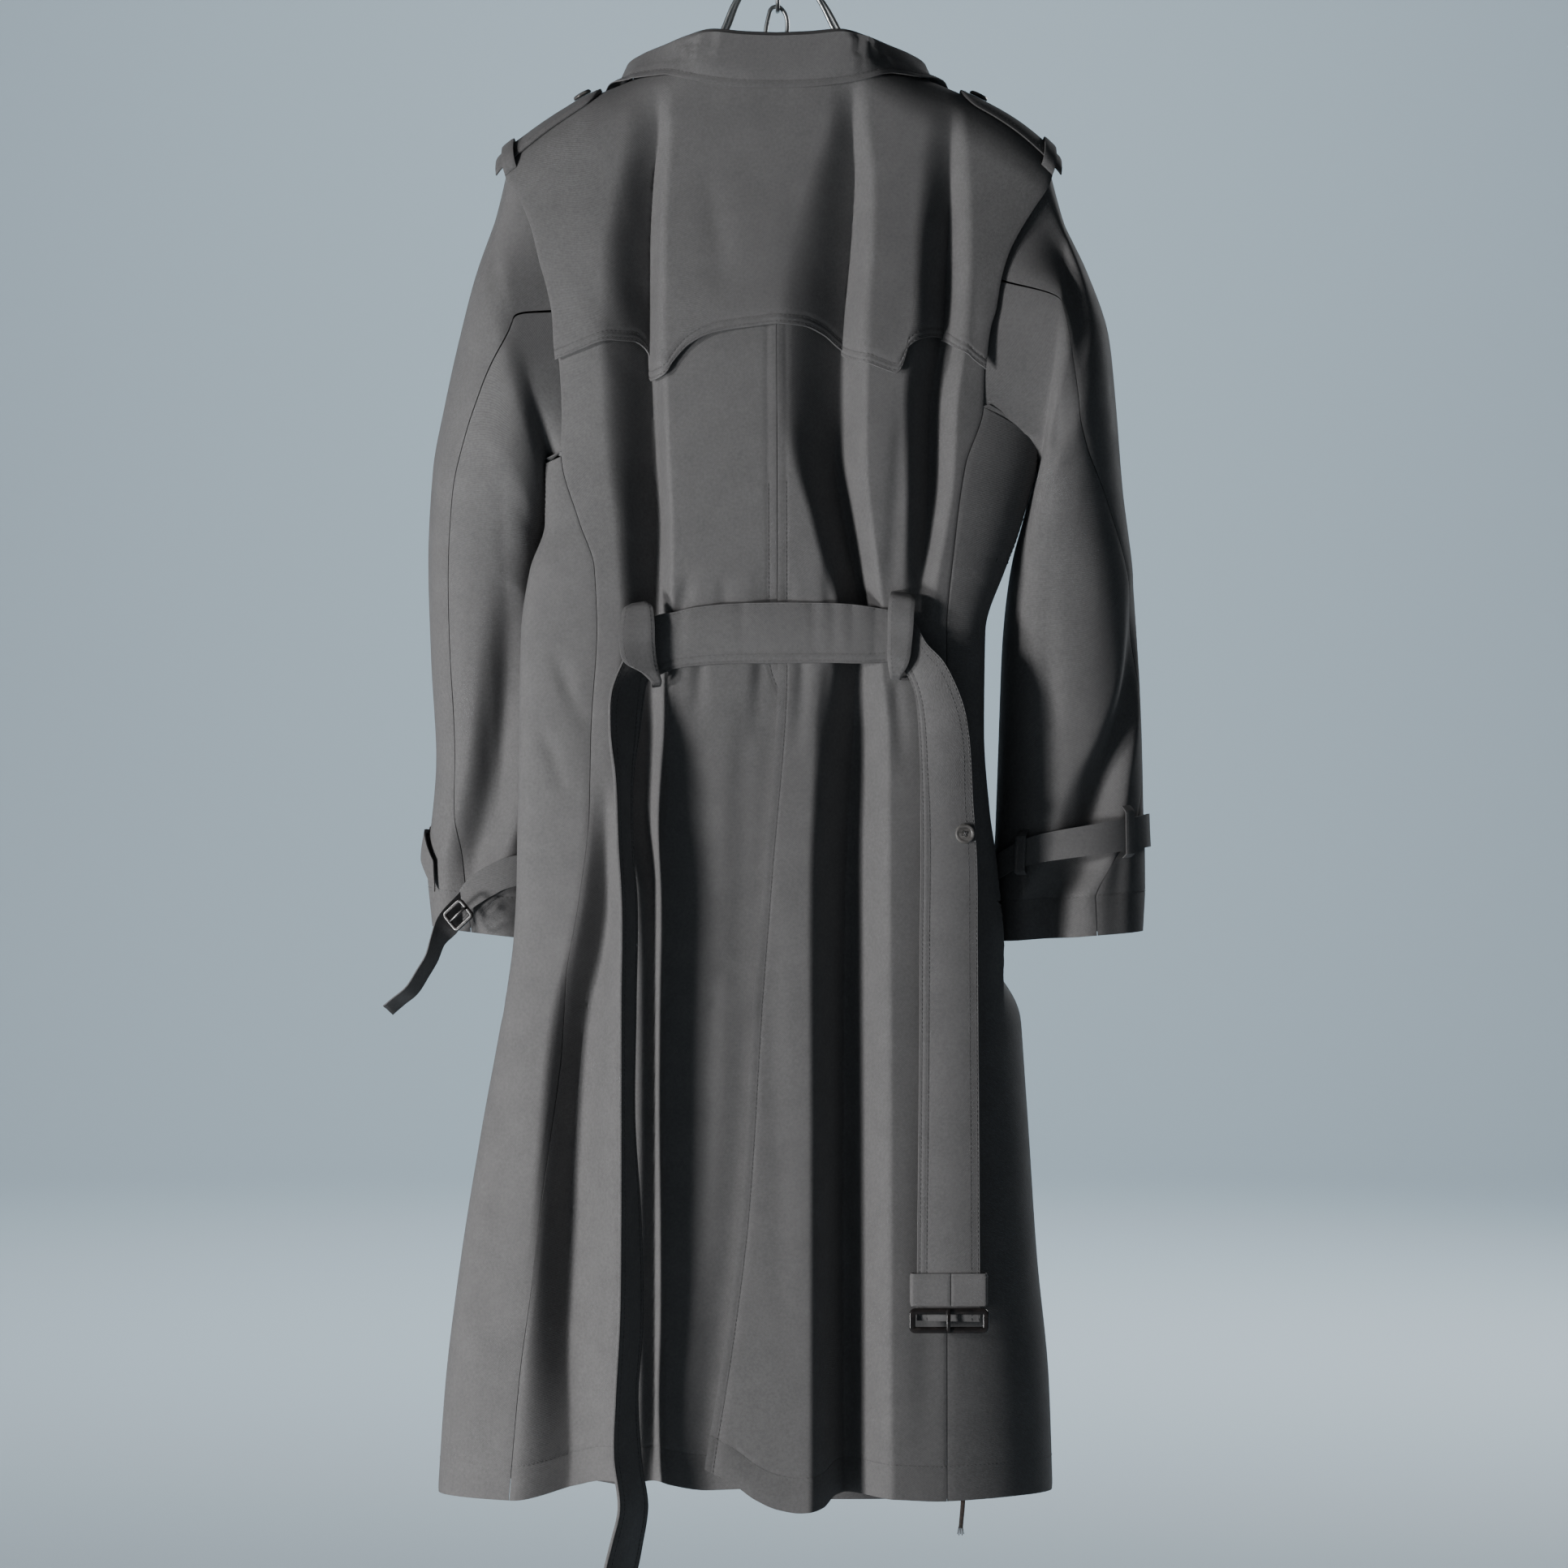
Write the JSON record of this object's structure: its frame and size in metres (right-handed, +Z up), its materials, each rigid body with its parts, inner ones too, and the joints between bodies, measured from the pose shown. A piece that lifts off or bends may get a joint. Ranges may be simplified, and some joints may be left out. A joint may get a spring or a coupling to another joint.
{
  "type": "trench coat on a hanger",
  "caption": "Long belted trench coat with storm yoke, epaulettes, back vent and cuff straps, hanging flat on a wire hanger with its belt drawn to the back.",
  "frame": {"origin": "inside top of the hanger's hook, where a rail carries it", "axes": "+Z up; +Y the way the wearer would face, so the back faces -Y; +X to the wearer's right"},
  "size_m": [0.6309, 0.2226, 1.4077],
  "materials": {
    "twill": "matte",
    "horn": "semi-gloss",
    "buckle": "gloss",
    "steel": "satin",
    "tie": "matte"
  },
  "bodies": {
    "root": {"back_left": "twill", "back_right": "twill", "back_yoke": "twill", "front_left": "twill", "front_right": "twill", "lapel_left": "twill", "lapel_right": "twill", "collar_stand": "twill", "collar_fall": "twill", "sleeve_left_upper": "twill", "sleeve_left_under": "twill", "sleeve_right_upper": "twill", "sleeve_right_under": "twill", "belt": "twill", "belt_loop_left": "twill", "belt_loop_right": "twill", "belt_keeper": "twill", "epaulette_left": "twill", "epaulette_right": "twill", "epaulette_loop_left": "twill", "epaulette_loop_right": "twill", "cuff_strap_left": "twill", "cuff_strap_right": "twill", "cuff_loop_left_1": "twill", "cuff_loop_left_2": "twill", "cuff_loop_right_1": "twill", "cuff_loop_right_2": "twill", "belt_button": "horn", "epaulette_button_left": "horn", "epaulette_button_right": "horn", "front_button_left_1": "horn", "front_button_left_2": "horn", "front_button_left_3": "horn", "front_button_right_1": "horn", "front_button_right_2": "horn", "front_button_right_3": "horn", "belt_buckle": "buckle", "belt_buckle_prong": "buckle", "cuff_buckle_left": "buckle", "cuff_prong_left": "buckle", "cuff_buckle_right": "buckle", "cuff_prong_right": "buckle", "hanger_hook": "steel", "hanger_ferrule": "steel", "hanger_wire_left": "steel", "hanger_wire_right": "steel", "hanger_eye": "steel", "chain_link_1": "steel", "chain_link_2": "steel", "hem_tie": "tie"}
  },
  "joints": []
}
